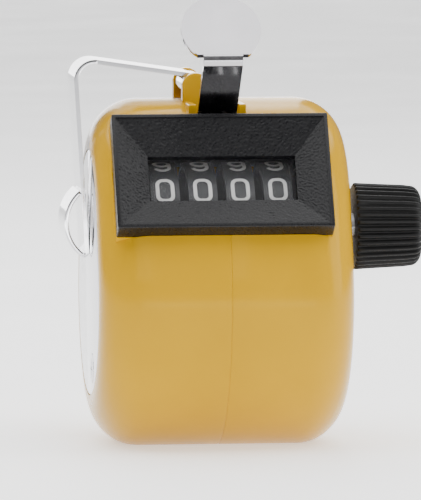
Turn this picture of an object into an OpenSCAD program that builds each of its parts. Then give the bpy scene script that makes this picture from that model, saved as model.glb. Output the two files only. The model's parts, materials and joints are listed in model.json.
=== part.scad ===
// Hand tally counter: a moulded two-part case with four number wheels, a thumb lever,
// a reset knob and a hinged finger ring. X runs along the wheel shaft, -Y is the front.

/* [Case] */
// Width of the moulded case along the shaft
case_w = 39; // [37:0.5:42]
// Radius of the lower drum of the case
drum_r = 23.5; // [22:0.1:25]
// Radius of the upper drum of the case
crown_r = 20; // [19:0.1:21]
// Height of the upper drum's centre above the lower one's
crown_rise = 10; // [9:0.1:11]
// Radius of the rounded side rims
rim_r = 7.5; // [6:0.1:8]
// Thickness of the moulded wall
wall = 1.6; // [1.2:0.1:2]
// Depth of the flat on which the case stands
foot_cut = 0.5; // [0.3:0.1:0.8]

/* [Bezel] */
// Width of the bezel
bezel_w = 33; // [31:0.1:34]
// Length of the bezel up its slope
bezel_h = 19.3; // [18:0.1:20]
// Slope of the bezel's face above the horizontal
bezel_tilt = 58.4; // [55:0.1:62]
// Width of the window
window_w = 22.5; // [22:0.1:24]
// Height of the window up the slope
window_h = 7.5; // [7:0.1:8.5]
// Depth of the window below the rim
window_depth = 2.5; // [2:0.1:2.5]

/* [Number wheels] */
// Outer radius of a number wheel
wheel_r = 10; // [9.5:0.1:10]
// Distance from one wheel to the next
wheel_pitch = 5.74; // [5.7:0.01:5.8]
// Width of a wheel's rim
wheel_w = 4.4; // [4.2:0.1:4.5]
// Radius of the wheel shaft
shaft_r = 2; // [1.8:0.1:2.2]
// Radius of a ratchet's tooth tips
ratchet_r = 5; // [4.8:0.1:5.2]

/* [Reset knob] */
// Diameter of the knob at its base
knob_d = 13.3; // [12:0.1:14]
// Length of the knob
knob_len = 10.2; // [9:0.1:11]
// Number of ribs on the knob
knob_ribs = 36; // [24:1:40]

/* [Thumb lever] */
// Width of the lever's strip
lever_w = 6; // [5:0.1:6.4]
// Thickness of the lever's strip
lever_t = 0.86; // [0.7:0.02:0.9]
// Diameter of the thumb pad
pad_d = 12.2; // [11:0.1:13]

/* [Finger ring] */
// Width of the ring's strip
ring_w = 10; // [8:0.1:10]
// Thickness of the ring's strip
ring_t = 0.66; // [0.5:0.02:0.8]

/* [Hidden] */
$fn = 64;
eps = 0.01;

// Case: two circles in the Y-Z plane, joined by their common tangents
half_w = case_w / 2;
drum_z = drum_r;
crown_z = drum_z + crown_rise;
tangent_a = asin((drum_r - crown_r) / crown_rise);
outline_step = 10;
rim_steps = 4;
side_wall = 2.4;
cover_inset = 7.9;
cover_t = 0.8;
play = 0.05;

// Mechanism: everything behind the bezel is centred on this X
mid_x = -0.8;
shaft_yz = [-8.5, 34.2];
pivot_yz = [-15, 18];
screw_yz = [[-5.5, 12.5], [9, 36.5]];
detent_yz = [6, 23];
pawl_yz = [-0.5, 44.5];
plate_t = 1;
plate_x = 14;
plate_inset = 4.8;
detent_r = 1;
finger_t = 0.7;
cheek_x = 12.4;
cheek_t = 0.8;
cross_z = 46.6;
screw_r = 1;
screw_end = 17.5;
screw_head_r = 2.3;
screw_head_t = 0.45;
boss_r = 2.4;
shelf_z = 11.7;
shelf_y = -3;
shelf_size = [3, 3.6, 0.8];
post_r = 1.9;
pivot_r = 1.2;
pawl_pin_r = 0.9;
pin_play = 0.05;

// Bezel frame: its local X runs across, Y up the slope and Z out of the face
bezel_foot = [mid_x, -23.5, 35.6];
bezel_rim = 0.6;
bezel_depth = 3.4;
seat_w = 1.2;
seat_depth = 9;
mouth_clear = 6;
window_low = 5.1;
neck_depth = 1.35;
lens_t = 0.6;
lens_grip = 0.95;

// Slot in the top of the case for the lever
slot_y = [-10.9, -4.35];
slot_half_w = 3.35;
slot_cut_z = [46, 58];
collar_half_w = 4.4;
collar_z = 53.2;
collar_back = 0.35;
collar_foot_z = [49.8, 51.9];

// Finger ring: the hinge axis runs along Y
hinge_xz = [-3.4, 55.5];
hinge_pin_r = 1.15;
hinge_eye_r = 1.5;
ring_y = [-1.8, -1.8 + ring_w];
ear_r = 2.05;
ear_y = [[-4.3, -2.1], [ring_y[1] + 0.3, ring_y[1] + 2.5]];
ear_foot_z = [52, 49.9];
ring_corner = [-21.75, 59.7];
ring_corner_r = 2.9;
ring_tip = [-19.86, 29.9];
curl_r = 6.2;
curl_c = [-16.85, 34.5];
curl_a = 127;

// Knob
knob_x = half_w + 0.8;
knob_dome = 2;
knob_bore = 7;

// The origin is under the middle of the part's box, on the flat of the foot
right_x = knob_x + knob_len;
left_x = curl_c[0] - curl_r - ring_t / 2;
module place() {
    translate([-(right_x + left_x) / 2, 0, -foot_cut])
        children();
}

// ---- outlines and sweeps ----

// Points of an arc about c, from angle a0 to a1
function arc(c, r, a0, a1, n) =
    [for (i = [0:n]) let (a = a0 + (a1 - a0) * i / n) c + r * [cos(a), sin(a)]];

// Unit vector from a to b
function unit(a, b) = (b - a) / norm(b - a);

// Left-hand normal of a path at its point i
function path_normal(p, i) =
    let (
        u = unit(p[max(i - 1, 0)], p[max(i, 1)]),
        v = unit(p[min(i, len(p) - 2)], p[min(i + 1, len(p) - 1)]),
        m = (u + v) / norm(u + v)
    )
    [-m[1], m[0]] / (m * v);

// Both sides of a strip of thickness t along a path
function strip_outline(p, t) = concat(
    [for (i = [0:len(p) - 1]) p[i] + path_normal(p, i) * t / 2],
    [for (i = [len(p) - 1:-1:0]) p[i] - path_normal(p, i) * t / 2]);

module strip(p, t) {
    polygon(strip_outline(p, t));
}

// Rounded bar along a path, for stamped plates
module bar(p, r) {
    for (i = [0:len(p) - 1])
        translate(p[i])
            circle(r);
    for (i = [0:len(p) - 2])
        strip([p[i], p[i + 1]], 2 * r);
}

// Case outline moved inwards by inset, as points at angles of equal normal
function egg_points(inset) = concat(
    [for (a = [-180 - tangent_a:outline_step:tangent_a])
        [0, drum_z] + (drum_r - inset) * [cos(a), sin(a)]],
    [for (a = [tangent_a:outline_step:180 - tangent_a])
        [0, crown_z] + (crown_r - inset) * [cos(a), sin(a)]]);

// The same outline with true circles
module egg(inset) {
    low = drum_r - inset;
    top = crown_r - inset;
    translate([0, drum_z])
        circle(low);
    translate([0, crown_z])
        circle(top);
    n = [cos(tangent_a), sin(tangent_a)];
    m = [-n[0], n[1]];
    polygon([[0, drum_z] + low * n, [0, crown_z] + top * n,
        [0, crown_z] + top * m, [0, drum_z] + low * m]);
}

// Solid through a list of [x, inset] sections of the case outline
module loft(sections) {
    rings = [for (s = sections) [for (p = egg_points(s[1])) [s[0], p[0], p[1]]]];
    n = len(rings[0]);
    m = len(rings);
    polyhedron(
        points = [for (r = rings) each r],
        faces = concat(
            [[for (i = [n - 1:-1:0]) i]],
            [for (k = [0:m - 2]) for (i = [0:n - 1])
                [k * n + i, k * n + (i + 1) % n, (k + 1) * n + (i + 1) % n, (k + 1) * n + i]],
            [[for (i = [0:n - 1]) (m - 1) * n + i]]));
}

// Sections of a rounded rim, from the full outline out to the flat side at x = -half
function rim_sections(half, r, inset) =
    [for (i = [0:rim_steps]) let (a = 90 * i / rim_steps)
        [-half + r - r * sin(a), inset + r - r * cos(a)]];

// Extrudes a Y-Z outline along X, from x0 to x1
module along_x(x0, x1) {
    translate([x0, 0, 0])
        rotate([90, 0, 90])
            linear_extrude(x1 - x0)
                children();
}

// Extrudes an X-Z outline along Y, from y0 to y1
module along_y(y0, y1) {
    translate([0, y1, 0])
        rotate([90, 0, 0])
            linear_extrude(y1 - y0)
                children();
}

// Cylinder along X about a point of the Y-Z plane
module rod(yz, r, x0, x1) {
    translate([x0, yz[0], yz[1]])
        rotate([0, 90, 0])
            cylinder(r = r, h = x1 - x0);
}

// The bezel's local frame
module on_bezel() {
    translate(bezel_foot)
        rotate([bezel_tilt, 0, 0])
            children();
}

// Box in the bezel's frame, given by its half width and its limits
module bezel_box(half, y0, y1, z0, z1) {
    translate([-half, y0, z0])
        cube([2 * half, y1 - y0, z1 - z0]);
}

// ---- case ----

// Everything that is taken out of both case halves
module case_openings() {
    on_bezel() {
        bezel_box(bezel_w / 2 + play, -play, bezel_h + play, -bezel_depth, mouth_clear);
        bezel_box(bezel_w / 2 - seat_w, seat_w, bezel_h - seat_w, -seat_depth, mouth_clear);
    }
    translate([mid_x - slot_half_w, slot_y[0], slot_cut_z[0]])
        cube([2 * slot_half_w, slot_y[1] - slot_y[0], slot_cut_z[1] - slot_cut_z[0]]);
    translate([-case_w, -case_w, -1])
        cube([2 * case_w, 2 * case_w, 1 + foot_cut]);
}

// Raised collar round the lever slot; its lower edge stays inside the wall
module slot_collar(x0, x1) {
    back = slot_y[1] + collar_back;
    along_x(x0, x1)
        polygon([[slot_y[0], collar_foot_z[0]], [back, collar_foot_z[1]],
            [back, collar_z], [slot_y[0], collar_z]]);
}

// Raised seat under the bezel, from x0 to x1
module bezel_seat(x0, x1) {
    intersection() {
        on_bezel()
            bezel_box(bezel_w / 2, 0, bezel_h, -seat_depth, -bezel_depth);
        translate([x0, -2 * drum_r, 0])
            cube([x1 - x0, 2 * drum_r, 4 * drum_r]);
    }
}

// Hollow half of the case, from the seam at x = 0 to the flat side at x = -half_w
module half_shell(seat_x0, seat_x1) {
    difference() {
        union() {
            loft(concat([[0, 0]], rim_sections(half_w, rim_r, 0)));
            bezel_seat(seat_x0, seat_x1);
        }
        loft(concat([[1, wall]], rim_sections(half_w - side_wall, rim_r - wall, wall)));
    }
}

module case_left() {
    color("gold") place()
        difference() {
            union() {
                half_shell(mid_x - bezel_w / 2, 0);
                slot_collar(mid_x - collar_half_w, 0);
                for (i = [0, 1])
                    along_y(ear_y[i][0], ear_y[i][1]) {
                        translate(hinge_xz)
                            circle(ear_r);
                        translate([hinge_xz[0] - ear_r, ear_foot_z[i]])
                            square([2 * ear_r, hinge_xz[1] - ear_foot_z[i]]);
                    }
            }
            case_openings();
            along_x(-half_w - 1, -half_w + cover_t + play)
                egg(cover_inset - play);
            for (p = screw_yz)
                rod(p, screw_r + play, -half_w, 0);
            along_y(ear_y[0][0] - 1, ear_y[1][1] + 1)
                translate(hinge_xz)
                    circle(hinge_pin_r);
        }
}

module case_right() {
    color("gold") place()
        difference() {
            union() {
                mirror([1, 0, 0])
                    half_shell(-mid_x - bezel_w / 2, 0);
                slot_collar(0, mid_x + collar_half_w);
                for (p = screw_yz)
                    rod(p, boss_r, mid_x + plate_x + plate_t + play, half_w - side_wall + 0.5);
            }
            case_openings();
            rod(shaft_yz, shaft_r + 0.6, plate_x, half_w + 1);
            for (p = screw_yz)
                rod(p, screw_r, plate_x, screw_end + 0.1);
        }
}

module side_cover() {
    color("silver") place()
        difference() {
            along_x(-half_w, -half_w + cover_t)
                egg(cover_inset);
            for (p = screw_yz)
                rod(p, screw_head_r + play, -half_w - 1, -half_w + screw_head_t);
            for (p = screw_yz)
                rod(p, screw_r + play, -half_w - 1, -half_w + 2);
        }
}

module case_screws() {
    color("silver") place()
        for (p = screw_yz)
            difference() {
                union() {
                    rod(p, screw_head_r, -half_w - 0.1, -half_w + screw_head_t);
                    rod(p, screw_r, -half_w, screw_end);
                }
                for (a = [0, 90])
                    translate([-half_w - 1, p[0], p[1]])
                        rotate([a, 0, 0])
                            translate([0, -1.3, -0.25])
                                cube([1.3, 2.6, 0.5]);
            }
}

// ---- bezel ----

module bezel() {
    mouth = [bezel_w / 2 - bezel_rim, bezel_rim, bezel_h - bezel_rim];
    neck = [window_w / 2, window_low, window_low + window_h];
    color("dimgray") place()
        on_bezel()
            difference() {
                bezel_box(bezel_w / 2, 0, bezel_h, -bezel_depth, 0);
                polyhedron(
                    points = [for (e = [[mouth, 0.01], [mouth, -0.25], [neck, -neck_depth]])
                        for (c = [[-1, 1], [1, 1], [1, 2], [-1, 2]])
                            [c[0] * e[0][0], e[0][c[1]], e[1]]],
                    faces = concat([[3, 2, 1, 0]],
                        [for (k = [0, 4]) for (i = [0:3])
                            [k + i, k + (i + 1) % 4, k + 4 + (i + 1) % 4, k + 4 + i]],
                        [[8, 9, 10, 11]]));
                bezel_box(neck[0], neck[1], neck[2], -bezel_depth - 1, 0);
                bezel_box(neck[0] + 1, neck[1] - 1, neck[2] + 1, -bezel_depth - 1, -window_depth);
            }
}

module window_lens() {
    color("white", 0.4) place()
        on_bezel()
            bezel_box(window_w / 2 + lens_grip, window_low - lens_grip,
                window_low + window_h + lens_grip, -window_depth - lens_t, -window_depth);
}

// ---- inner frame ----

module frame_plate(x0) {
    along_x(x0, x0 + plate_t)
        difference() {
            egg(plate_inset);
            translate(shaft_yz)
                circle(shaft_r + pin_play);
            translate(pivot_yz)
                circle(pivot_r);
            translate(detent_yz)
                circle(detent_r);
            for (p = screw_yz)
                translate(p)
                    circle(screw_r + play);
        }
}

module frame_left_plate() {
    color("lightsteelblue") place()
        frame_plate(mid_x - plate_x - plate_t);
}

module frame_right_plate() {
    color("lightsteelblue") place()
        union() {
            frame_plate(mid_x + plate_x);
            translate([mid_x + plate_x - shelf_size[0] + 0.2, shelf_y, shelf_z - shelf_size[2]])
                cube(shelf_size);
        }
}

module frame_posts() {
    color("silver") place()
        for (p = screw_yz)
            difference() {
                rod(p, post_r, mid_x - plate_x, mid_x + plate_x);
                rod(p, screw_r + play, mid_x - plate_x - 1, mid_x + plate_x + 1);
            }
}

module lever_pivot_pin() {
    color("silver") place()
        rod(pivot_yz, pivot_r, mid_x - plate_x - plate_t, mid_x + plate_x + plate_t);
}

// X of the middle of wheel i's rim, from the left
function wheel_x(i) = mid_x + (i - 1.5) * wheel_pitch;

// X at which finger i of a comb works on its wheel's ratchet
function finger_x(i) = wheel_x(i) + wheel_w / 2 + play;

// Comb of four fingers that keeps each wheel from turning back
module check_spring() {
    leaf_t = 0.4;
    tip = shaft_yz + (ratchet_r + 0.65) * [cos(-40), sin(-40)];
    color("goldenrod") place() {
        rod(detent_yz, detent_r, mid_x - plate_x - plate_t, mid_x + plate_x + plate_t);
        for (i = [0:3])
            along_x(finger_x(i), finger_x(i) + finger_t)
                strip([detent_yz, tip], leaf_t);
        along_x(finger_x(0), finger_x(3) + finger_t)
            strip([detent_yz, detent_yz + 3 * unit(detent_yz, tip)], leaf_t);
    }
}

// Round wire swept along a list of points, with rings of eight corners
module wire(path, r) {
    n = len(path);
    sides = 8;
    function along(i) = unit(path[max(i - 1, 0)], path[min(i + 1, n - 1)]);
    function ring(i) =
        let (
            t = along(i),
            s = cross(t, abs(t[0]) > 0.8 ? [0, 0, 1] : [1, 0, 0]),
            u = s / norm(s),
            v = cross(t, u)
        )
        [for (k = [0:sides - 1]) let (a = 360 * k / sides) path[i] + r * (cos(a) * u + sin(a) * v)];
    polyhedron(
        points = [for (i = [0:n - 1]) each ring(i)],
        faces = concat(
            [[for (k = [sides - 1:-1:0]) k]],
            [for (i = [0:n - 2]) for (k = [0:sides - 1])
                [i * sides + k, i * sides + (k + 1) % sides,
                    (i + 1) * sides + (k + 1) % sides, (i + 1) * sides + k]],
            [[for (k = [0:sides - 1]) (n - 1) * sides + k]]));
}

// Compression spring under the yoke's rear corner
module lever_spring() {
    turns = 6;
    per_turn = 12;
    low = [mid_x + 12.6, -1.2, shelf_z + 0.25];
    high = 22.4;
    coil_r = 1.05;
    wire_r = 0.22;
    color("silver") place()
        wire([for (i = [0:turns * per_turn])
            let (a = 360 * i / per_turn, z = low[2] + (high - low[2]) * i / (turns * per_turn))
            [low[0] + coil_r * cos(a), low[1] + coil_r * sin(a), z]], wire_r);
}

// ---- lever ----

yoke_path = [pivot_yz, [-1, 26], [0.8, 38], pawl_yz, [-5, 46.8]];
yoke_bar_r = 2.2;

module lever_yoke() {
    color("lightgray") place() {
        for (x = [mid_x - cheek_x - cheek_t, mid_x + cheek_x])
            along_x(x, x + cheek_t)
                difference() {
                    bar(yoke_path, yoke_bar_r);
                    translate(pivot_yz)
                        circle(pivot_r + pin_play);
                    translate(pawl_yz)
                        circle(pawl_pin_r);
                }
        difference() {
            translate([mid_x - cheek_x - cheek_t, -8, cross_z])
                cube([2 * (cheek_x + cheek_t), 6, cheek_t]);
            rivet_holes();
        }
    }
}

lever_foot_z = cross_z + cheek_t + lever_t / 2;
lever_neck = [-18.7, 60.3];
lever_path = [[-2.4, lever_foot_z], [-5.65, lever_foot_z], lever_neck];
pad_dir = [0.616, 0.788];
rivet_x = [mid_x - 1.7, mid_x + 1.7];
rivet_y = -3.8;
rivet_r = 0.6;
rivet_head = 0.4;
rivet_head_r = 1;

// Holes that both the yoke's cross plate and the lever's foot have for the rivets
module rivet_holes() {
    for (x = rivet_x)
        translate([x, rivet_y, cross_z - 1])
            cylinder(r = rivet_r, h = 4);
}

module thumb_lever() {
    reach = 11.7;
    color("silver") place() {
        difference() {
            translate([mid_x - lever_w / 2, 0, 0])
                along_x(0, lever_w)
                    strip(concat(lever_path, [lever_neck + 1.2 * pad_dir]), lever_t);
            rivet_holes();
        }
        translate([mid_x, lever_neck[0], lever_neck[1]])
            rotate([atan2(pad_dir[1], pad_dir[0]), 0, 0])
                translate([0, 0, -lever_t / 2])
                    linear_extrude(lever_t)
                        union() {
                            translate([0, reach - pad_d / 2])
                                circle(pad_d / 2);
                            translate([-lever_w / 2, 0.4])
                                square([lever_w, 3]);
                        }
    }
}

module lever_rivets() {
    color("silver") place()
        for (x = rivet_x)
            translate([x, rivet_y, cross_z - rivet_head])
                union() {
                    cylinder(r = rivet_r, h = cheek_t + lever_t + rivet_head);
                    cylinder(r = rivet_head_r, h = rivet_head);
                    translate([0, 0, rivet_head + cheek_t + lever_t])
                        cylinder(r = rivet_head_r, h = rivet_head);
                }
}

module pawl_pin() {
    color("silver") place()
        rod(pawl_yz, pawl_pin_r, mid_x - cheek_x - cheek_t - 0.3, mid_x + cheek_x + cheek_t + 0.3);
}

// Comb of four hooked fingers that turns the wheels
module drive_pawl() {
    hub_r = 1.6;
    finger_r = 0.5;
    tip = shaft_yz + (ratchet_r + 0.75) * [cos(66), sin(66)];
    color("slategray") place()
        difference() {
            union() {
                rod(pawl_yz, hub_r, mid_x - cheek_x + 0.1, mid_x + cheek_x - 0.1);
                for (i = [0:3])
                    along_x(finger_x(i), finger_x(i) + finger_t)
                        bar([pawl_yz, tip], finger_r);
            }
            rod(pawl_yz, pawl_pin_r + pin_play, mid_x - cheek_x, mid_x + cheek_x);
        }
}

// Leaf under the cross plate that presses the fingers down
module pawl_spring() {
    half = 5;
    leaf_t = 0.3;
    leaf_z = cross_z - leaf_t / 2;
    color("goldenrod") place()
        along_x(mid_x - half, mid_x + half)
            strip([[-7.6, leaf_z], [-5.2, leaf_z], [-4.2, 43.4]], leaf_t);
}

// ---- number wheels ----

tooth_depth = 0.8;
carry_notch = 1.3;
ratchet_t = 0.8;
rim_t = 1.1;
web_t = 0.9;
hub_r = 3.4;

// Ten-tooth ratchet; the tooth at index 0 has the deep notch that carries to the next wheel
function ratchet_points() = [for (i = [0:9]) each [
    ratchet_r * [cos(36 * i), sin(36 * i)],
    (ratchet_r - (i == 0 ? carry_notch : tooth_depth)) * [cos(36 * i + 4), sin(36 * i + 4)]]];

module number_wheel(i) {
    x = wheel_x(i);
    right = x + wheel_w / 2;
    color("dimgray") place()
        difference() {
            union() {
                rod(shaft_yz, wheel_r, x - wheel_w / 2, right);
                along_x(right - eps, right + ratchet_t)
                    translate(shaft_yz)
                        polygon(ratchet_points());
            }
            difference() {
                rod(shaft_yz, wheel_r - rim_t, x - wheel_w / 2 - 1, right - web_t);
                rod(shaft_yz, hub_r, x - wheel_w / 2, right);
            }
            rod(shaft_yz, shaft_r + pin_play, x - wheel_w, x + wheel_w);
            translate([right - 2.3, shaft_yz[0], shaft_yz[1] - 0.8])
                cube([1.4, 4, 1.6]);
        }
}

module number_wheel_thousands() {
    number_wheel(0);
}

module number_wheel_hundreds() {
    number_wheel(1);
}

module number_wheel_tens() {
    number_wheel(2);
}

module number_wheel_units() {
    number_wheel(3);
}

// Sprung dog that drops into the shaft's groove when the knob is turned
module reset_dog(i) {
    right = wheel_x(i) + wheel_w / 2;
    color("goldenrod") place()
        along_x(right - 2.1, right - 0.95)
            translate(shaft_yz) {
                strip([[2.15, 0], [5.6, 0]], 1.1);
                strip([[5.2, -0.5], [4.4, 4.4]], 0.9);
            }
}

module reset_dog_thousands() {
    reset_dog(0);
}

module reset_dog_hundreds() {
    reset_dog(1);
}

module reset_dog_tens() {
    reset_dog(2);
}

module reset_dog_units() {
    reset_dog(3);
}

// ---- shaft and knob ----

shaft_left = mid_x - plate_x - plate_t - 0.9;
clip_groove = 0.4;

// Thin washers on the shaft, one to the left of each wheel
module wheel_spacers() {
    washer_r = 3.2;
    color("goldenrod") place()
        for (i = [0:3])
            difference() {
                rod(shaft_yz, washer_r,
                    wheel_x(i) - wheel_w / 2 - 0.4, wheel_x(i) - wheel_w / 2 - 0.1);
                rod(shaft_yz, shaft_r, wheel_x(i) - wheel_w, wheel_x(i));
            }
}

module wheel_shaft() {
    key = 0.8;
    color("silver") place()
        difference() {
            rod(shaft_yz, shaft_r, shaft_left, knob_x + knob_bore);
            translate([wheel_x(0) - 3, shaft_yz[0] - shaft_r - 0.1, shaft_yz[1] - key / 2])
                cube([wheel_x(3) - wheel_x(0) + 6, key, key]);
            difference() {
                rod(shaft_yz, shaft_r + 1, shaft_left + 0.3, shaft_left + 0.8);
                rod(shaft_yz, shaft_r - clip_groove, shaft_left, shaft_left + 1);
            }
        }
}

// Snap ring that keeps the shaft in the frame
module shaft_clip() {
    clip_r = 3.4;
    gap = 2.6;
    color("silver") place()
        along_x(shaft_left + 0.32, shaft_left + 0.78)
            translate(shaft_yz)
                difference() {
                    circle(clip_r);
                    circle(shaft_r - clip_groove);
                    translate([0, -gap / 2])
                        square([5, gap]);
                }
}

module reset_knob() {
    base = knob_d / 2;
    body_r = base + 0.3;
    rib = 360 / knob_ribs;
    land = rib * 0.27;
    groove = 0.5;
    color("dimgray") place()
        translate([knob_x, shaft_yz[0], shaft_yz[1]])
            rotate([0, 90, 0])
                difference() {
                    intersection() {
                        linear_extrude(knob_len)
                            polygon([for (i = [0:knob_ribs - 1]) each [
                                base * [cos(rib * i - land), sin(rib * i - land)],
                                base * [cos(rib * i + land), sin(rib * i + land)],
                                (base - groove) * [cos(rib * (i + 0.5)), sin(rib * (i + 0.5))]]]);
                        rotate_extrude()
                            polygon(concat([[0, 0], [body_r, 0]],
                                arc([body_r - knob_dome, knob_len - knob_dome], knob_dome, 0, 90, 6),
                                [[0, knob_len]]));
                    }
                    translate([0, 0, -1])
                        cylinder(r = shaft_r, h = 1 + knob_bore);
                }
}

// ---- finger ring ----

module ring_hinge_pin() {
    color("silver") place()
        along_y(ear_y[0][0] + 0.1, ear_y[1][1] - 0.1)
            translate(hinge_xz)
                circle(hinge_pin_r);
}

// Corner of two straight runs, rounded to radius r
function rounded_corner(a, k, b, r) =
    let (
        u = unit(k, a),
        v = unit(k, b),
        half = acos(u * v) / 2,
        c = k + (u + v) / norm(u + v) * r / sin(half),
        p = k + u * r / tan(half),
        q = k + v * r / tan(half),
        a0 = atan2(p[1] - c[1], p[0] - c[0]),
        a1 = atan2(q[1] - c[1], q[0] - c[0]),
        turn = (a1 - a0 + 540) % 360 - 180
    )
    arc(c, r, a0, a0 + turn, 12);

module finger_ring() {
    eye = arc(hinge_xz, hinge_eye_r, -210, 90, 36);
    color("silver") place()
        along_y(ring_y[0], ring_y[1])
            difference() {
                union() {
                    strip(concat(eye,
                        rounded_corner(eye[36], ring_corner, ring_tip, ring_corner_r),
                        [ring_tip]), ring_t);
                    strip(concat([ring_tip + [0.1, 0.2], ring_tip + [-0.35, -0.25]],
                        arc(curl_c, curl_r, 360 - curl_a, curl_a, 24)), ring_t);
                }
                translate(hinge_xz)
                    circle(hinge_pin_r + pin_play);
            }
}

case_left();
case_right();
side_cover();
case_screws();
bezel();
window_lens();
frame_left_plate();
frame_right_plate();
frame_posts();
lever_pivot_pin();
check_spring();
lever_spring();
ring_hinge_pin();
thumb_lever();
lever_yoke();
lever_rivets();
pawl_pin();
pawl_spring();
drive_pawl();
number_wheel_thousands();
number_wheel_hundreds();
number_wheel_tens();
number_wheel_units();
reset_dog_thousands();
reset_dog_hundreds();
reset_dog_tens();
reset_dog_units();
wheel_spacers();
wheel_shaft();
shaft_clip();
reset_knob();
finger_ring();
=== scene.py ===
"""Looks of the hand tally counter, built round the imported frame. Lengths below are in mm."""
import json
import math

import bmesh
import bpy
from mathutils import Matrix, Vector, noise


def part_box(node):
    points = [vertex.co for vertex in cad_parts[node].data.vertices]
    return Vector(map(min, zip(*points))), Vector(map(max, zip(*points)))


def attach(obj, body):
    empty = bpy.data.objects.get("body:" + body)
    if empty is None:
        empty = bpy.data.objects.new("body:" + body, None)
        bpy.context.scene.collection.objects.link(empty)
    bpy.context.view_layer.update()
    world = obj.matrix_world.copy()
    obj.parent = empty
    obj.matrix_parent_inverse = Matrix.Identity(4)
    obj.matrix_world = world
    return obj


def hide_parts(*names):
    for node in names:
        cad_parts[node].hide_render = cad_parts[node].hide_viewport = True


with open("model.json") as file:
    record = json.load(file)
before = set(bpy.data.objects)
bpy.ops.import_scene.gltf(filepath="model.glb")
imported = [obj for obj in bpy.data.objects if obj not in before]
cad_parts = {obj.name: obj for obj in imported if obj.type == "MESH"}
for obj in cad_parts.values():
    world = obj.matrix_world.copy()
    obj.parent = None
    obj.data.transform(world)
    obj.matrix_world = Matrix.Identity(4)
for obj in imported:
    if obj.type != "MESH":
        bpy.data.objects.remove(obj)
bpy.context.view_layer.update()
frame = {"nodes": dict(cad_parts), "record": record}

MM = 0.001

# The working frame is the object's own: X = 0 on the case seam, Y = 0 on the drum's axis,
# Z = 0 where the round drum would end if its foot were not cut flat.
FOOT_CUT = 0.5
SEAM_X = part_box("case_left")[1][0] / MM

# Case
DRUM_R, CROWN_R, CROWN_RISE = 23.5, 20.0, 10.0
HALF_W, RIM_R, WALL, SIDE_WALL = 19.5, 7.5, 1.6, 2.4
TANGENT = math.asin((DRUM_R - CROWN_R) / CROWN_RISE)
COVER_INSET, COVER_T = 7.9, 0.8
SEAM_GROOVE = 0.1
PLAY = 0.05

# Mechanism and bezel
MID_X = -0.8
SHAFT = (-8.5, 34.2)
WHEEL_R, WHEEL_PITCH = 10.0, 5.74
WHEELS = ("thousands", "hundreds", "tens", "units")
BEZEL_FOOT = (MID_X, -23.5, 35.6)
BEZEL_TILT = math.radians(58.4)
BEZEL_W, BEZEL_H, BEZEL_DEPTH, BEZEL_RIM, SEAT_W = 33.0, 19.3, 3.4, 0.6, 1.2
WINDOW_W, WINDOW_LOW, WINDOW_H, WINDOW_DEPTH, NECK_DEPTH = 22.5, 5.1, 7.5, 2.5, 1.35
SEAT_DEPTH, MOUTH_CLEAR = 9, 6
SLOT_Y, SLOT_Z, SLOT_HALF = (-10.9, -4.35), (46, 60), 3.35
COLLAR_HALF, COLLAR_Z, COLLAR_BACK, COLLAR_FOOT_Z = 4.4, 53.2, 0.35, (49.8, 51.9)

# Finger ring
HINGE = (-3.4, 55.5)
HINGE_EYE_R, RING_T = 1.5, 0.66
RING_Y = (-1.8, 8.2)
EAR_R = 2.05
EARS = (((-4.3, -2.1), 52.0), ((8.5, 10.7), 49.9))
RING_CORNER, RING_CORNER_R, RING_TIP = (-21.75, 59.7), 2.9, (-19.86, 29.9)
CURL_C, CURL_R, CURL_A = (-16.85, 34.5), 6.2, math.radians(127)

# Lever
LEVER_W, LEVER_T, PAD_D = 6.0, 0.86, 12.2
CROSS_PLATE_TOP = 46.6 + 0.8
LEVER_FOOT_Z = CROSS_PLATE_TOP + LEVER_T / 2
LEVER_NECK = (-18.7, 60.3)
PAD_DIR = (0.616, 0.788)

# Knob
KNOB_X, KNOB_LEN, KNOB_D, KNOB_RIBS = HALF_W + 0.8, 10.2, 13.3, 36


def metres(p):
    """A point of the working frame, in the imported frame's metres."""
    return Vector(((p[0] + SEAM_X) * MM, p[1] * MM, (p[2] - FOOT_CUT) * MM))


def shade(mesh, degrees):
    """Smooth shading, kept sharp at edges that turn more than this many degrees."""
    bm = bmesh.new()
    bm.from_mesh(mesh)
    limit = math.radians(degrees)
    for f in bm.faces:
        f.smooth = True
    for e in bm.edges:
        e.smooth = len(e.link_faces) == 2 and e.calc_face_angle(0) < limit
    bm.to_mesh(mesh)
    bm.free()


def solid(name, points, faces, degrees=35):
    """A closed mesh object from points of the working frame, with its faces turned outwards."""
    mesh = bpy.data.meshes.new(name)
    mesh.from_pydata([metres(p) for p in points], [], faces)
    bm = bmesh.new()
    bm.from_mesh(mesh)
    bmesh.ops.remove_doubles(bm, verts=bm.verts, dist=1e-7)
    bmesh.ops.recalc_face_normals(bm, faces=bm.faces)
    bm.to_mesh(mesh)
    bm.free()
    shade(mesh, degrees)
    obj = bpy.data.objects.new(name, mesh)
    bpy.context.scene.collection.objects.link(obj)
    return obj


def apply_modifiers(obj):
    """Turns what the modifiers show into the object's own mesh."""
    bpy.context.view_layer.update()
    seen = obj.evaluated_get(bpy.context.evaluated_depsgraph_get())
    mesh = bpy.data.meshes.new_from_object(seen)
    obj.modifiers.clear()
    obj.data = mesh
    return obj


def combine(obj, others, operation):
    """Adds or cuts closed meshes, which are then deleted."""
    for other in others:
        m = obj.modifiers.new("combine", "BOOLEAN")
        m.operation = operation
        m.solver = "MANIFOLD"
        m.object = other
        apply_modifiers(obj)
        bpy.data.objects.remove(other)
    return obj


def soften(obj, width, degrees=35):
    """Rounds every edge sharper than the angle, by this many mm."""
    b = obj.modifiers.new("edges", "BEVEL")
    b.width = width * MM
    b.segments = 3
    b.limit_method = "ANGLE"
    b.angle_limit = math.radians(degrees)
    apply_modifiers(obj)
    shade(obj.data, 60)
    w = obj.modifiers.new("normals", "WEIGHTED_NORMAL")
    w.keep_sharp = True
    w.weight = 60
    return obj


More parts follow.
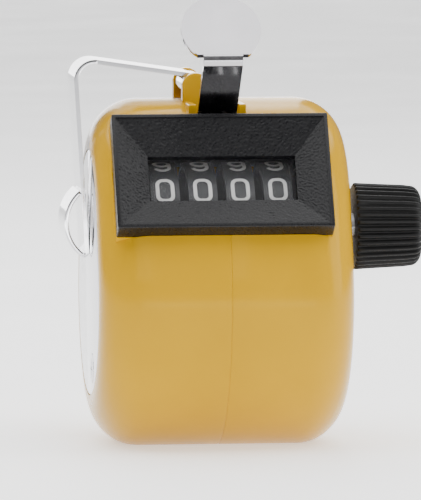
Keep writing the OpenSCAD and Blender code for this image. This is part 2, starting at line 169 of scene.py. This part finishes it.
def ring_faces(n, rings):
    """Faces of a tube of rings of n points each, with its end caps."""
    faces = []
    for k in range(rings - 1):
        a, b = k * n, (k + 1) * n
        faces += [(a + i, a + (i + 1) % n, b + (i + 1) % n, b + i) for i in range(n)]
    return faces + [tuple(range(n)), tuple(range((rings - 1) * n, rings * n))]


def box(name, lo, hi, turn=lambda p: p):
    """A closed block between two corners."""
    c = [turn((x, y, z)) for x in (lo[0], hi[0]) for y in (lo[1], hi[1]) for z in (lo[2], hi[2])]
    return solid(name, c, [(0, 1, 3, 2), (4, 6, 7, 5), (0, 4, 5, 1), (2, 3, 7, 6),
                           (0, 2, 6, 4), (1, 5, 7, 3)])


def arc(c, r, a0, a1, n):
    """Points of an arc in a plane."""
    steps = [a0 + (a1 - a0) * i / n for i in range(n + 1)]
    return [(c[0] + r * math.cos(a), c[1] + r * math.sin(a)) for a in steps]


# ---- materials ----

def principled(name, color, roughness, metallic=0.0, **sockets):
    """A new material with its shader, ready for nodes."""
    mat = bpy.data.materials.new(name)
    mat.use_nodes = True
    shader = mat.node_tree.nodes["Principled BSDF"]
    shader.inputs["Base Color"].default_value = (*color, 1)
    shader.inputs["Roughness"].default_value = roughness
    shader.inputs["Metallic"].default_value = metallic
    for key, value in sockets.items():
        shader.inputs[key.replace("_", " ")].default_value = value
    return mat, mat.node_tree, shader


def grain(tree, scale, detail=4.0, stretch=(1, 1, 1)):
    """Noise in the object's own coordinates; scale is the number of features in a metre."""
    place = tree.nodes.new("ShaderNodeTexCoord")
    mapping = tree.nodes.new("ShaderNodeMapping")
    mapping.inputs["Scale"].default_value = stretch
    tex = tree.nodes.new("ShaderNodeTexNoise")
    tex.inputs["Scale"].default_value = scale
    tex.inputs["Detail"].default_value = detail
    tree.links.new(place.outputs["Object"], mapping.inputs["Vector"])
    tree.links.new(mapping.outputs["Vector"], tex.inputs["Vector"])
    return tex


def span(tree, source, lo, hi, from_lo=0.35, from_hi=0.65):
    """Maps a noise value onto a range."""
    m = tree.nodes.new("ShaderNodeMapRange")
    m.inputs["From Min"].default_value = from_lo
    m.inputs["From Max"].default_value = from_hi
    m.inputs["To Min"].default_value = lo
    m.inputs["To Max"].default_value = hi
    tree.links.new(source, m.inputs["Value"])
    return m.outputs["Result"]


def tint(tree, source, dark, light):
    """Maps a noise value onto two colours."""
    ramp = tree.nodes.new("ShaderNodeValToRGB")
    ramp.color_ramp.elements[0].position = 0.35
    ramp.color_ramp.elements[1].position = 0.65
    ramp.color_ramp.elements[0].color = (*dark, 1)
    ramp.color_ramp.elements[1].color = (*light, 1)
    tree.links.new(source, ramp.inputs["Fac"])
    return ramp.outputs["Color"]


def bump(tree, shader, source, strength, distance):
    """Lets a noise value raise the surface by this many mm."""
    b = tree.nodes.new("ShaderNodeBump")
    b.inputs["Strength"].default_value = strength
    b.inputs["Distance"].default_value = distance * MM
    tree.links.new(source, b.inputs["Height"])
    tree.links.new(b.outputs["Normal"], shader.inputs["Normal"])


def moulded(name, dark, light, roughness, bump_mm=0.004, scale=1500, **sockets):
    """Moulded plastic: slight mottling, uneven gloss and a faint skin texture."""
    mat, tree, shader = principled(name, light, roughness[0], **sockets)
    broad = grain(tree, 60, 3)
    fine = grain(tree, scale, 3)
    tree.links.new(tint(tree, broad.outputs["Fac"], dark, light), shader.inputs["Base Color"])
    tree.links.new(span(tree, fine.outputs["Fac"], *roughness), shader.inputs["Roughness"])
    bump(tree, shader, fine.outputs["Fac"], 0.35, bump_mm)
    return mat


def metal(name, color, roughness, stretch=(1, 1, 1), scale=900, bump_mm=0.002):
    """Metal with fine drawn scratches along the short side of the stretch."""
    mat, tree, shader = principled(name, color, roughness[0], metallic=1.0)
    fine = grain(tree, scale, 6, stretch)
    haze = grain(tree, 90, 3)
    dark = tuple(0.9 * c for c in color)
    tree.links.new(tint(tree, haze.outputs["Fac"], dark, color), shader.inputs["Base Color"])
    tree.links.new(span(tree, fine.outputs["Fac"], *roughness), shader.inputs["Roughness"])
    bump(tree, shader, fine.outputs["Fac"], 0.2, bump_mm)
    return mat


MATERIALS = {
    "yellow_plastic": moulded("yellow_plastic", (0.50, 0.272, 0.0), (0.54, 0.294, 0.0),
                              (0.14, 0.2), 0.003, 900, Specular_IOR_Level=0.2,
                              Specular_Tint=(1.0, 0.85, 0.45, 1.0)),
    "black_plastic": moulded("black_plastic", (0.004, 0.004, 0.005), (0.008, 0.008, 0.009),
                             (0.24, 0.4), 0.04, 3000, Specular_IOR_Level=0.25),
    "knob_plastic": moulded("knob_plastic", (0.003, 0.003, 0.003), (0.006, 0.006, 0.006),
                            (0.34, 0.5), 0.01, 2200, Specular_IOR_Level=0.2),
    "wheel_plastic": moulded("wheel_plastic", (0.012, 0.013, 0.015), (0.017, 0.018, 0.021),
                             (0.45, 0.6), 0.006, 2000),
    "number_paint": moulded("number_paint", (0.62, 0.62, 0.61), (0.70, 0.70, 0.69),
                            (0.4, 0.55), 0.004, 2500),
    "cover_chrome": metal("cover_chrome", (0.82, 0.82, 0.84), (0.05, 0.10)),
    "lever_chrome": metal("lever_chrome", (0.52, 0.51, 0.53), (0.07, 0.15), (1, 0.15, 0.15)),
    "ring_chrome": metal("ring_chrome", (0.68, 0.68, 0.70), (0.05, 0.10), (1, 0.2, 1)),
    "screw_steel": metal("screw_steel", (0.72, 0.72, 0.74), (0.15, 0.3)),
    "pin_steel": metal("pin_steel", (0.62, 0.62, 0.64), (0.2, 0.35), (0.1, 1, 1)),
    "frame_steel": metal("frame_steel", (0.55, 0.56, 0.58), (0.25, 0.4), (1, 0.1, 1)),
    "spring_steel": metal("spring_steel", (0.5, 0.5, 0.52), (0.25, 0.35)),
    "pawl_steel": metal("pawl_steel", (0.42, 0.42, 0.44), (0.3, 0.45)),
    "washer_brass": metal("washer_brass", (0.75, 0.55, 0.25), (0.2, 0.35)),
}


def clear_plastic():
    """Thin clear window: mostly see-through, with a soft reflection."""
    mat, tree, shader = principled("clear_plastic", (0.2, 0.2, 0.21), 0.08, Alpha=0.05)
    smear = grain(tree, 120, 2)
    tree.links.new(span(tree, smear.outputs["Fac"], 0.05, 0.14), shader.inputs["Roughness"])
    return mat


MATERIALS["clear_plastic"] = clear_plastic()


def dress(obj, slot, body, *replaced):
    """Gives a new piece its material and its body, and hides the CAD nodes that it stands for.
    """
    obj.data.materials.clear()
    obj.data.materials.append(MATERIALS[slot])
    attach(obj, body)
    if replaced:
        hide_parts(*replaced)
    return obj


# ---- case ----

def egg(inset, steps):
    """Case outline in the Y-Z plane, moved inwards by inset."""
    low = arc((0, DRUM_R), DRUM_R - inset, -math.pi - TANGENT, TANGENT, steps * 2)
    top = arc((0, DRUM_R + CROWN_RISE), CROWN_R - inset, TANGENT, math.pi - TANGENT, steps)
    return low + top


def rim(half, r, inset, steps):
    """Sections of a rounded rim, from the full outline out to the flat side."""
    turns = [math.pi / 2 * i / steps for i in range(steps + 1)]
    return [(half - r + r * math.sin(a), inset + r - r * math.cos(a)) for a in turns]


def loft(name, side, sections, steps):
    """Closed solid through (distance from the seam, inset) sections of the case outline."""
    rings = [[(side * x, y, z) for y, z in egg(inset, steps)] for x, inset in sections]
    return solid(name, [p for r in rings for p in r], ring_faces(len(rings[0]), len(rings)))


def on_bezel(p):
    """From the bezel's own frame: across, up the slope and out of the face."""
    c, s = math.cos(BEZEL_TILT), math.sin(BEZEL_TILT)
    return (BEZEL_FOOT[0] + p[0], BEZEL_FOOT[1] + p[1] * c - p[2] * s,
            BEZEL_FOOT[2] + p[1] * s + p[2] * c)


def ear(span_y, foot_z):
    """Hinge ear: a block with a round top, running along Y."""
    outline = arc(HINGE, EAR_R, 0, math.pi, 28) + [(HINGE[0] - EAR_R, foot_z),
                                                    (HINGE[0] + EAR_R, foot_z)]
    rings = [[(x, y, z) for x, z in outline] for y in span_y]
    return soften(solid("ear", [p for r in rings for p in r], ring_faces(len(outline), 2)), 0.25)


def case_half(name, side):
    """One smooth moulded half, hollow, with the bezel and lever openings cut out."""
    outer = [(0, SEAM_GROOVE), (SEAM_GROOVE, 0.02), (2 * SEAM_GROOVE, 0), (4, 0), (8, 0)]
    shell = loft(name, side, outer + rim(HALF_W, RIM_R, 0, 18), 72)
    collar_reach = COLLAR_HALF - side * -MID_X
    back = SLOT_Y[1] + COLLAR_BACK
    edge = [(SLOT_Y[0], COLLAR_FOOT_Z[0]), (back, COLLAR_FOOT_Z[1]), (back, COLLAR_Z),
            (SLOT_Y[0], COLLAR_Z)]
    collar = [(x, y, z) for x in (0, side * collar_reach) for y, z in edge]
    extra = [soften(solid("collar", collar, ring_faces(4, 2)), 0.25)]
    if side < 0:
        extra += [ear(*e) for e in EARS]
    half = BEZEL_W / 2
    seat = box("bezel_seat", (-half if side < 0 else -MID_X, 0, -SEAT_DEPTH),
               (-MID_X if side < 0 else half, BEZEL_H, -BEZEL_DEPTH), on_bezel)
    combine(shell, extra + [seat], "UNION")
    cuts = [loft("cavity", side, [(-1, WALL), (6, WALL)]
                 + rim(HALF_W - SIDE_WALL, RIM_R - WALL, WALL, 8), 32),
            box("pocket", (-half - PLAY, -PLAY, -BEZEL_DEPTH),
                (half + PLAY, BEZEL_H + PLAY, MOUTH_CLEAR), on_bezel),
            box("opening", (SEAT_W - half, SEAT_W, -SEAT_DEPTH),
                (half - SEAT_W, BEZEL_H - SEAT_W, MOUTH_CLEAR), on_bezel),
            box("slot", (MID_X - SLOT_HALF, SLOT_Y[0], SLOT_Z[0]),
                (MID_X + SLOT_HALF, SLOT_Y[1], SLOT_Z[1])),
            box("foot", (-50, -50, -9), (50, 50, FOOT_CUT))]
    if side < 0:
        recess = [[(x, y, z) for y, z in egg(COVER_INSET - PLAY, 40)]
                  for x in (-HALF_W - 1, -HALF_W + COVER_T)]
        cuts.append(solid("seat", [p for r in recess for p in r],
                          ring_faces(len(recess[0]), 2)))
    combine(shell, cuts, "DIFFERENCE")
    shade(shell.data, 32)
    return dress(shell, "yellow_plastic", "case", name.replace("_shell", ""))


case_half("case_left_shell", -1)
case_half("case_right_shell", 1)


def side_cover():
    """Polished plate with a gently rounded edge."""
    sections = [(HALF_W - COVER_T, 0.0), (HALF_W - 0.3, 0.0), (HALF_W - 0.1, 0.08),
                (HALF_W, 0.3)]
    rings = [[(-x, y, z) for y, z in egg(COVER_INSET + inset, 64)] for x, inset in sections]
    plate = solid("side_cover_plate", [p for r in rings for p in r],
                  ring_faces(len(rings[0]), len(rings)))
    return dress(plate, "cover_chrome", "case", "side_cover")


side_cover()


# ---- bezel ----

def bezel():
    """Black frame: smooth raised rim, pebbled funnel and a straight-walled window."""
    half, rim_w = BEZEL_W / 2, BEZEL_RIM
    block = soften(box("bezel_frame", (-half, 0, -BEZEL_DEPTH), (half, BEZEL_H, 0), on_bezel),
                   0.22)
    block.modifiers.clear()
    mouth = (half - rim_w, rim_w, BEZEL_H - rim_w)
    neck = (WINDOW_W / 2, WINDOW_LOW, WINDOW_LOW + WINDOW_H)
    across, up, deep = 190, 108, 40
    lip, pebble = 0.25, 0.065

    def square(t, u, limits):
        """Point round a rectangle's edge, as a fraction t from one corner to the next."""
        x, lo, hi = limits
        corners = [(-x, lo), (x, lo), (x, hi), (-x, hi)]
        a, b = corners[u], corners[(u + 1) % 4]
        return (a[0] + (b[0] - a[0]) * t, a[1] + (b[1] - a[1]) * t)

    counts = (across, up, across, up)
    steps = [(u, i / counts[u]) for u in range(4) for i in range(counts[u])]
    depths = [(0.0, 1.0), (0.0, -lip)]
    depths += [(k / deep, -lip - (NECK_DEPTH - lip) * k / deep) for k in range(1, deep + 1)]
    depths += [(1.0, -BEZEL_DEPTH - 1)]
    points = []
    for k, (part, depth) in enumerate(depths):
        for u, t in steps:
            a, b = square(t, u, mouth), square(t, u, neck)
            x, y = (a[j] + (b[j] - a[j]) * part for j in (0, 1))
            lift = 0
            if 2 <= k <= deep:
                lift = pebble * (noise.noise(Vector((x, y, 0)) * 4.2)
                                 + 0.8 * noise.noise(Vector((x, y, 9)) * 6.5))
            points.append(on_bezel((x, y, depth + lift)))
    funnel = solid("funnel", points, ring_faces(len(steps), len(depths)))
    pane = box("pane", (-neck[0] - 1, neck[1] - 1, -BEZEL_DEPTH - 2),
               (neck[0] + 1, neck[2] + 1, -WINDOW_DEPTH), on_bezel)
    combine(block, [funnel, pane], "DIFFERENCE")
    shade(block.data, 40)
    return dress(block, "black_plastic", "case", "bezel")


bezel()


# ---- number wheels ----

def digit_strokes(d):
    """Centre lines of a digit in a box 1 wide and 1 high, as lists of points."""
    def bow(cx, cy, rx, ry, a0, a1, n=14):
        turns = [math.radians(a0 + (a1 - a0) * i / n) for i in range(n + 1)]
        return [(cx + rx * math.cos(a), cy + ry * math.sin(a)) for a in turns]

    return {
        0: [bow(0.6, 0.72, 0.4, 0.28, 0, 90) + bow(0.4, 0.72, 0.4, 0.28, 90, 180)
            + bow(0.4, 0.22, 0.4, 0.22, 180, 270) + bow(0.6, 0.22, 0.4, 0.22, 270, 360)
            + [(1, 0.72)]],
        1: [[(0.22, 0.78), (0.55, 1.0), (0.55, 0.0)]],
        2: [bow(0.5, 0.72, 0.46, 0.28, 165, -30) + [(0.03, 0.0), (1.0, 0.0)]],
        3: [bow(0.48, 0.75, 0.42, 0.25, 150, -90) + bow(0.48, 0.25, 0.48, 0.25, 90, -150)],
        4: [[(0.75, 0.0), (0.75, 1.0), (0.0, 0.3), (1.0, 0.3)]],
        5: [[(0.92, 1.0), (0.12, 1.0), (0.08, 0.55)] + bow(0.47, 0.31, 0.5, 0.31, 130, -150)],
        6: [bow(0.5, 0.74, 0.48, 0.26, 20, 180) + bow(0.5, 0.3, 0.48, 0.3, 180, 540, 24)],
        7: [[(0.0, 1.0), (1.0, 1.0), (0.35, 0.0)]],
        8: [bow(0.5, 0.76, 0.4, 0.24, -90, 270, 24), bow(0.5, 0.26, 0.48, 0.26, 90, 450, 24)],
        9: [bow(0.5, 0.7, 0.48, 0.3, 0, 360, 24) + bow(0.5, 0.26, 0.48, 0.26, 0, -160)],
    }[d]


DIGIT_W, DIGIT_H, STROKE, STROKE_STEP, PAINT_T = 2.3, 3.75, 0.55, 0.4, 0.05
DIGIT_AT = math.radians(39.9)


def dense(path, step):
    """The path with no run longer than step, so that it can follow the rim."""
    out = [path[0]]
    for a, b in zip(path, path[1:]):
        n = math.ceil(math.dist(a, b) / step)
        out += [(a[0] + (b[0] - a[0]) * i / n, a[1] + (b[1] - a[1]) * i / n)
                for i in range(1, n + 1)]
    return out


def ribbon(path, width):
    """Left and right edges of a stroke along a path."""
    left, right = [], []
    for i, p in enumerate(path):
        a = Vector(path[max(i - 1, 0)])
        b = Vector(path[min(i + 1, len(path) - 1)])
        run = (b - a).normalized()
        back = (Vector(p) - a).normalized() if i else run
        stretch = 1 / max(0.5, abs(run.dot(back)))
        side = Vector((-run[1], run[0])) * width / 2 * min(stretch, 1.4)
        left.append(Vector(p) + side)
        right.append(Vector(p) - side)
    return left, right


def numbers(i, name):
    """The ten painted numbers of a wheel, wrapped round its rim."""
    points, faces = [], []
    centre = MID_X + (i - 1.5) * WHEEL_PITCH

    def wrapped(p, d, lift):
        a = DIGIT_AT - math.radians(36 * d) + p[1] / WHEEL_R
        r = WHEEL_R + lift
        return (centre + p[0], SHAFT[0] - r * math.cos(a), SHAFT[1] + r * math.sin(a))

    for d in range(10):
        for stroke in digit_strokes(d):
            path = dense([((x - 0.5) * DIGIT_W, (y - 0.5) * DIGIT_H) for x, y in stroke],
                         STROKE_STEP)
            left, right = ribbon(path, STROKE)
            first = len(points)
            for l, r in zip(left, right):
                points += [wrapped(l, d, PAINT_T), wrapped(r, d, PAINT_T),
                           wrapped(r, d, -PAINT_T), wrapped(l, d, -PAINT_T)]
            faces += [tuple(first + v for v in f) for f in ring_faces(4, len(left))]
    paint = solid("numbers_" + name, points, faces, 50)
    return dress(paint, "number_paint", "wheel_" + name)


for index, wheel in enumerate(WHEELS):
    numbers(index, wheel)


# ---- reset knob ----

def knob():
    """Ribbed knob with a rounded end, turned about the wheel shaft."""
    per_rib = 10
    n = KNOB_RIBS * per_rib
    dome, base, taper, rib_depth = 1.6, KNOB_D / 2, 0.5, 0.5
    sections = [(0.0, base - 0.3, 0.2), (0.25, base, 1.0)]
    sections += [(KNOB_LEN * t, base - taper * t, 1.0) for t in (0.2, 0.4, 0.6, 0.75)]
    for i in range(9):
        a = math.pi / 2 * i / 8
        r = base - taper - dome + dome * math.cos(a)
        sections.append((KNOB_LEN - dome + dome * math.sin(a), r, math.cos(a) ** 0.7))
    sections += [(KNOB_LEN - 0.02, 3.6, 0), (KNOB_LEN - 0.25, 3.2, 0), (KNOB_LEN - 0.28, 0.5, 0)]
    points = []
    for x, r, ribs in sections:
        for k in range(n):
            a = 2 * math.pi * k / n
            wave = math.cos(KNOB_RIBS * a)
            depth = rib_depth * ribs * (0.5 - 0.5 * math.copysign(abs(wave) ** 0.6, wave))
            q = r - depth
            points.append((KNOB_X + x, SHAFT[0] + q * math.cos(a), SHAFT[1] + q * math.sin(a)))
    body = solid("reset_knob_cap", points, ring_faces(n, len(sections)), 50)
    return dress(body, "knob_plastic", "knob", "reset_knob")


knob()


# ---- thumb lever ----

def bend(a, k, b, r, n):
    """Points that round the corner k of the path a-k-b to radius r."""
    a, k, b = Vector(a), Vector(k), Vector(b)
    u, v = (a - k).normalized(), (b - k).normalized()
    half = math.acos(max(-1, min(1, u.dot(v)))) / 2
    c = k + (u + v).normalized() * r / math.sin(half)
    p, q = k + u * r / math.tan(half), k + v * r / math.tan(half)
    a0 = math.atan2(p[1] - c[1], p[0] - c[0])
    a1 = math.atan2(q[1] - c[1], q[0] - c[0])
    turn = (a1 - a0 + 3 * math.pi) % (2 * math.pi) - math.pi
    return arc(c, r, a0, a0 + turn, n)


def normals(path):
    """Unit normals of a path, to its left."""
    out = []
    for i in range(len(path)):
        a, b = Vector(path[max(i - 1, 0)]), Vector(path[min(i + 1, len(path) - 1)])
        run = (b - a).normalized()
        out.append(Vector((-run[1], run[0])))
    return out


def thumb_lever():
    """Sprung strip that rises from the slot, turns back and spreads into a round pad."""
    pad_r = PAD_D / 2
    reach = 11.7
    foot = (-2.4, LEVER_FOOT_Z)
    knee = (-5.65, LEVER_FOOT_Z)
    end = (LEVER_NECK[0] + reach * PAD_DIR[0], LEVER_NECK[1] + reach * PAD_DIR[1])
    path = [foot] + bend(foot, knee, LEVER_NECK, 1.2, 6)
    neck = bend(knee, LEVER_NECK, end, 1.0, 10)
    start = Vector(path[-1])
    path += [tuple(start.lerp(Vector(neck[0]), t)) for t in (0.25, 0.5, 0.75)] + neck
    widths = [LEVER_W / 2] * len(path)
    # Up the pad: a straight start, a concave fillet and then the circle
    centre = reach - pad_r
    fillet = 2.4
    side_y = LEVER_W / 2 + fillet
    fillet_s = centre - math.sqrt((pad_r + fillet) ** 2 - side_y ** 2)
    meet = pad_r / (pad_r + fillet)
    meet_s = centre + (fillet_s - centre) * meet
    meet_w = side_y * meet
    first = Vector(path[-1]) - Vector(LEVER_NECK)
    s0 = first.dot(Vector(PAD_DIR))
    stations = []
    begin = max(s0 + 0.05, fillet_s)
    for i in range(1, 9):
        s = begin + (meet_s - begin) * i / 8
        stations.append((s, side_y - math.sqrt(max(0, fillet ** 2 - (s - fillet_s) ** 2))))
    a0 = math.atan2(meet_w, meet_s - centre)
    for i in range(1, 41):
        a = a0 * (1 - i / 40)
        stations.append((centre + pad_r * math.cos(a), max(0.02, pad_r * math.sin(a))))
    for s, w in stations:
        path.append((LEVER_NECK[0] + s * PAD_DIR[0], LEVER_NECK[1] + s * PAD_DIR[1]))
        widths.append(w)
    points = []
    for p, n, w in zip(path, normals(path), widths):
        for side, lift in ((-1, 1), (1, 1), (1, -1), (-1, -1)):
            q = Vector(p) + n * lift * LEVER_T / 2
            points.append((MID_X + side * w, q[0], q[1]))
    strip = solid("thumb_lever_strip", points, ring_faces(4, len(path)), 40)
    soften(strip, 0.16, 50)
    return dress(strip, "lever_chrome", "lever", "thumb_lever")


thumb_lever()


# ---- finger ring ----

def finger_ring():
    """Flat strip curled round its hinge pin, bent down the side and rolled into an eye."""
    top = (HINGE[0], HINGE[1] + HINGE_EYE_R)
    eye = arc(HINGE, HINGE_EYE_R, math.radians(-210), math.radians(90), 40)
    corner = bend(top, RING_CORNER, RING_TIP, RING_CORNER_R, 18)
    roll = arc(CURL_C, CURL_R, 2 * math.pi - CURL_A, CURL_A, 30)
    tip = bend(RING_CORNER, (RING_TIP[0], RING_TIP[1] - 0.5), roll[0], 0.45, 10)
    # The rolled end stops just short of the leg
    path = eye + corner + tip + roll[1:-1]
    points = []
    for p, n in zip(path, normals(path)):
        for y, lift in ((RING_Y[0], 1), (RING_Y[1], 1), (RING_Y[1], -1), (RING_Y[0], -1)):
            q = Vector(p) + n * lift * RING_T / 2
            points.append((q[0], y, q[1]))
    strip = solid("finger_ring_strip", points, ring_faces(4, len(path)), 40)
    soften(strip, 0.14, 60)
    return dress(strip, "ring_chrome", "ring", "finger_ring")


finger_ring()


# ---- CAD nodes that stay ----

REDRAWN = ("case_left", "case_right", "bezel", "side_cover", "reset_knob", "thumb_lever",
           "finger_ring")
for entry in frame["record"]["subparts"]:
    if entry["node"] not in REDRAWN:
        node = frame["nodes"][entry["node"]]
        node.data.materials.clear()
        node.data.materials.append(MATERIALS[entry["material_slot"]])


# ---- stage, light and camera ----

def sheet(name, corners, color, roughness, scale, glow):
    """A glowing paper sheet that belongs to the stage."""
    mesh = bpy.data.meshes.new(name)
    mesh.from_pydata(corners, [], [(0, 1, 2, 3)])
    obj = bpy.data.objects.new(name, mesh)
    bpy.context.scene.collection.objects.link(obj)
    mat, tree, shader = principled(name + "_paper", (color, color, color), roughness[0])
    shader.inputs["Emission Color"].default_value = (1, 1, 1, 1)
    shader.inputs["Emission Strength"].default_value = glow
    tree.links.new(span(tree, grain(tree, scale).outputs["Fac"], *roughness),
                   shader.inputs["Roughness"])
    obj.data.materials.append(mat)


def stage():
    """Pale floor that runs far back, and a bright upright sheet for the top to mirror."""
    sheet("floor", [(-4, -4, 0), (4, -4, 0), (4, 4, 0), (-4, 4, 0)], 0.93, (0.65, 0.8), 30, 0.8)
    sheet("backdrop", [(-0.5, 2.5, 0), (0.5, 2.5, 0), (0.5, 2.5, 3), (-0.5, 2.5, 3)],
          0.95, (0.75, 0.85), 3, 4.0)


def area_light(name, at, towards, size, power):
    """A rectangular lamp, in metres and watts."""
    light = bpy.data.lights.new(name, "AREA")
    light.shape = "RECTANGLE"
    light.size, light.size_y = size
    light.energy = power
    obj = bpy.data.objects.new(name, light)
    obj.location = at
    obj.rotation_euler = (Vector(towards) - Vector(at)).to_track_quat("-Z", "Y").to_euler()
    bpy.context.scene.collection.objects.link(obj)


def lights():
    """Even studio light: a wide one above, soft ones in front and on the right."""
    world = bpy.data.worlds.new("studio")
    world.use_nodes = True
    world.node_tree.nodes["Background"].inputs["Color"].default_value = (1, 1, 1, 1)
    world.node_tree.nodes["Background"].inputs["Strength"].default_value = 0.2
    bpy.context.scene.world = world
    middle = metres((0, 0, 30))
    area_light("top_soft", (0.0, 0.05, 0.45), middle, (1.1, 0.9), 9.0)
    area_light("front_fill", (-0.2, -0.7, 0.4), middle, (0.5, 0.4), 0.95)
    area_light("right_soft", (0.45, -0.12, 0.2), middle, (0.25, 0.4), 1.2)
    area_light("low_strip", (0.0, -0.30, 0.006), metres((0, -20, 6)), (0.24, 0.012), 0.05)


def camera():
    """Long lens from slightly left of the front and slightly above."""
    azimuth, elevation = math.radians(-6.5), math.radians(5.0)
    back = Vector((math.sin(azimuth) * math.cos(elevation),
                   -math.cos(azimuth) * math.cos(elevation), math.sin(elevation)))
    distance, view_height = 1.2, 0.0769
    data = bpy.data.cameras.new("camera")
    data.sensor_fit = "VERTICAL"
    data.sensor_height = 24.0
    data.lens = data.sensor_height * distance / view_height
    data.clip_start = 0.05
    obj = bpy.data.objects.new("camera", data)
    target = metres((-0.65, 0, 30.0))
    obj.location = target + back * distance
    obj.rotation_euler = (-back).to_track_quat("-Z", "Y").to_euler()
    bpy.context.scene.collection.objects.link(obj)
    bpy.context.scene.camera = obj


stage()
lights()
camera()
